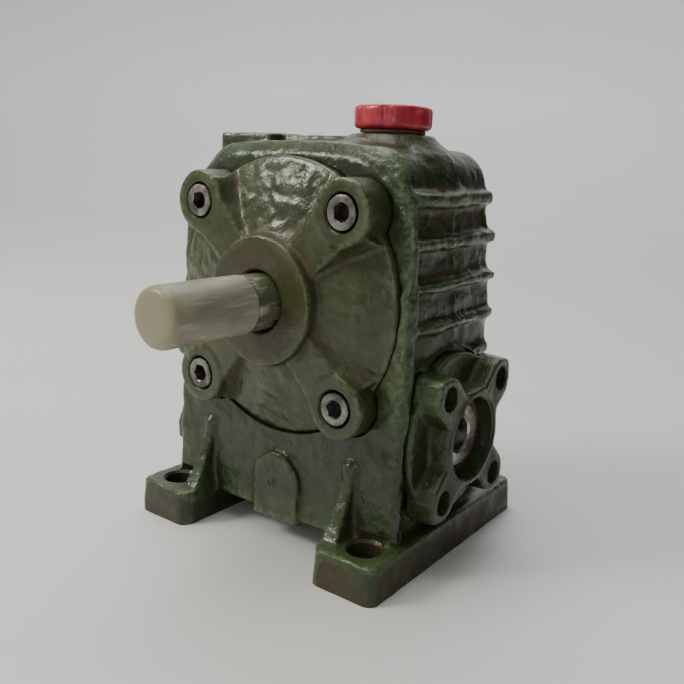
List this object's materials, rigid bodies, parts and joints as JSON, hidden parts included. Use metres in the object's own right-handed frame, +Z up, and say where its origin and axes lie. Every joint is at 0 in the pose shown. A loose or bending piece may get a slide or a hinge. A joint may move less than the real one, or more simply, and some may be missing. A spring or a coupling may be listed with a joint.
{
  "type": "worm gearbox",
  "caption": "Foot-mounted cast-iron worm gear reducer with a hollow flanged input, a solid output shaft under a push-on sleeve, and a red filler plug.",
  "frame": {"origin": "middle of the footprint of the whole object's box, on the surface the feet stand on", "axes": "+X along the worm axis out of the input cover, -Y along the output shaft out of the front cover, +Z up"},
  "size_m": [0.111, 0.1234, 0.1385],
  "materials": {
    "green_enamel": "glossy olive-green enamel over rough casting",
    "cover_enamel": "glossy olive-green enamel over rough casting, smoother on the arms",
    "gasket": "matte",
    "screw_steel": "black-oxide, worn at the rim",
    "shaft_steel": "ground",
    "bare_iron": "machined",
    "bronze": "machined",
    "bearing_steel": "polished",
    "seal_rubber": "matte",
    "milky_plastic": "translucent, satin",
    "red_plastic": "moulded, slightly glossy",
    "clear_plastic": "clear"
  },
  "bodies": {
    "gearcase": {"housing": "green_enamel", "front_cover": "cover_enamel", "input_cover": "green_enamel", "worm_end_cap": "green_enamel", "cover_gasket": "gasket", "input_cover_gasket": "gasket", "end_cap_gasket": "gasket", "cover_screw_upper_left": "screw_steel", "cover_screw_upper_right": "screw_steel", "cover_screw_lower_right": "screw_steel", "cover_screw_lower_left": "screw_steel", "input_screw_front_top": "screw_steel", "input_screw_rear_top": "screw_steel", "input_screw_rear_bottom": "screw_steel", "input_screw_front_bottom": "screw_steel", "end_cap_screw_front_top": "screw_steel", "end_cap_screw_rear_top": "screw_steel", "end_cap_screw_rear_bottom": "screw_steel", "end_cap_screw_front_bottom": "screw_steel", "output_front_bearing_outer_ring": "bearing_steel", "output_rear_bearing_outer_ring": "bearing_steel", "input_bearing_outer_ring": "bearing_steel", "worm_end_bearing_outer_ring": "bearing_steel", "output_seal": "seal_rubber", "input_seal": "seal_rubber", "sight_glass_bezel": "shaft_steel", "sight_glass_lens": "clear_plastic"},
    "output": {"output_shaft": "shaft_steel", "wheel_key": "shaft_steel", "shaft_spacer": "shaft_steel", "wheel_hub": "bare_iron", "wheel_rim": "bronze", "output_front_bearing_inner_ring": "bearing_steel", "output_rear_bearing_inner_ring": "bearing_steel"},
    "worm": {"worm_shaft": "shaft_steel", "input_bearing_inner_ring": "bearing_steel", "worm_end_bearing_inner_ring": "bearing_steel"},
    "output_front_balls": {"output_front_bearing_cage": "bearing_steel"},
    "output_rear_balls": {"output_rear_bearing_cage": "bearing_steel"},
    "input_balls": {"input_bearing_cage": "bearing_steel"},
    "worm_end_balls": {"worm_end_bearing_cage": "bearing_steel"},
    "sleeve": {"shaft_sleeve": "milky_plastic"},
    "filler_lift": {"filler_washer": "seal_rubber"},
    "filler": {"filler_plug": "red_plastic"},
    "drain_lift": {"drain_washer": "bronze"},
    "drain": {"drain_plug": "shaft_steel"}
  },
  "joints": [
    {"name": "output_spin", "type": "hinge", "parent": "gearcase", "child": "output", "pos_m": [0.0005, 0.0167, 0.08], "axis": [0, 1, 0], "continuous": true},
    {"name": "worm_spin", "type": "hinge", "parent": "gearcase", "child": "worm", "pos_m": [0.0005, 0.0167, 0.04], "axis": [1, 0, 0], "continuous": true},
    {"name": "output_front_balls_roll", "type": "hinge", "parent": "gearcase", "child": "output_front_balls", "pos_m": [0.0005, -0.007, 0.08], "axis": [0, 1, 0], "continuous": true},
    {"name": "output_rear_balls_roll", "type": "hinge", "parent": "gearcase", "child": "output_rear_balls", "pos_m": [0.0005, 0.0404, 0.08], "axis": [0, 1, 0], "continuous": true},
    {"name": "input_balls_roll", "type": "hinge", "parent": "gearcase", "child": "input_balls", "pos_m": [0.037, 0.0167, 0.04], "axis": [1, 0, 0], "continuous": true},
    {"name": "worm_end_balls_roll", "type": "hinge", "parent": "gearcase", "child": "worm_end_balls", "pos_m": [-0.037, 0.0167, 0.04], "axis": [1, 0, 0], "continuous": true},
    {"name": "sleeve_pull_off", "type": "slide", "parent": "output", "child": "sleeve", "axis": [0, -1, 0], "range_m": [0, 0.035]},
    {"name": "filler_plug_lift", "type": "slide", "parent": "gearcase", "child": "filler_lift", "axis": [0, 0, 1], "range_m": [0, 0.012]},
    {"name": "filler_plug_turn", "type": "hinge", "parent": "filler_lift", "child": "filler", "pos_m": [0.0195, 0.0167, 0.13], "axis": [0, 0, 1], "range_deg": [0, 2880]},
    {"name": "drain_plug_lift", "type": "slide", "parent": "gearcase", "child": "drain_lift", "axis": [0, 1, 0], "range_m": [0, 0.012]},
    {"name": "drain_plug_turn", "type": "hinge", "parent": "drain_lift", "child": "drain", "pos_m": [0.002, 0.045, 0.0204], "axis": [0, 1, 0], "range_deg": [0, 2880]}
  ],
  "couplings": [
    {"joint": "worm_spin", "follows": "output_spin", "ratio": 30},
    {"joint": "output_front_balls_roll", "follows": "output_spin", "ratio": 0.3816},
    {"joint": "output_rear_balls_roll", "follows": "output_spin", "ratio": 0.3816},
    {"joint": "input_balls_roll", "follows": "output_spin", "ratio": 12.36},
    {"joint": "worm_end_balls_roll", "follows": "output_spin", "ratio": 11.43},
    {"joint": "filler_plug_lift", "follows": "filler_plug_turn", "m_per_rad": 0.00023873},
    {"joint": "drain_plug_lift", "follows": "drain_plug_turn", "m_per_rad": 0.00023873}
  ]
}
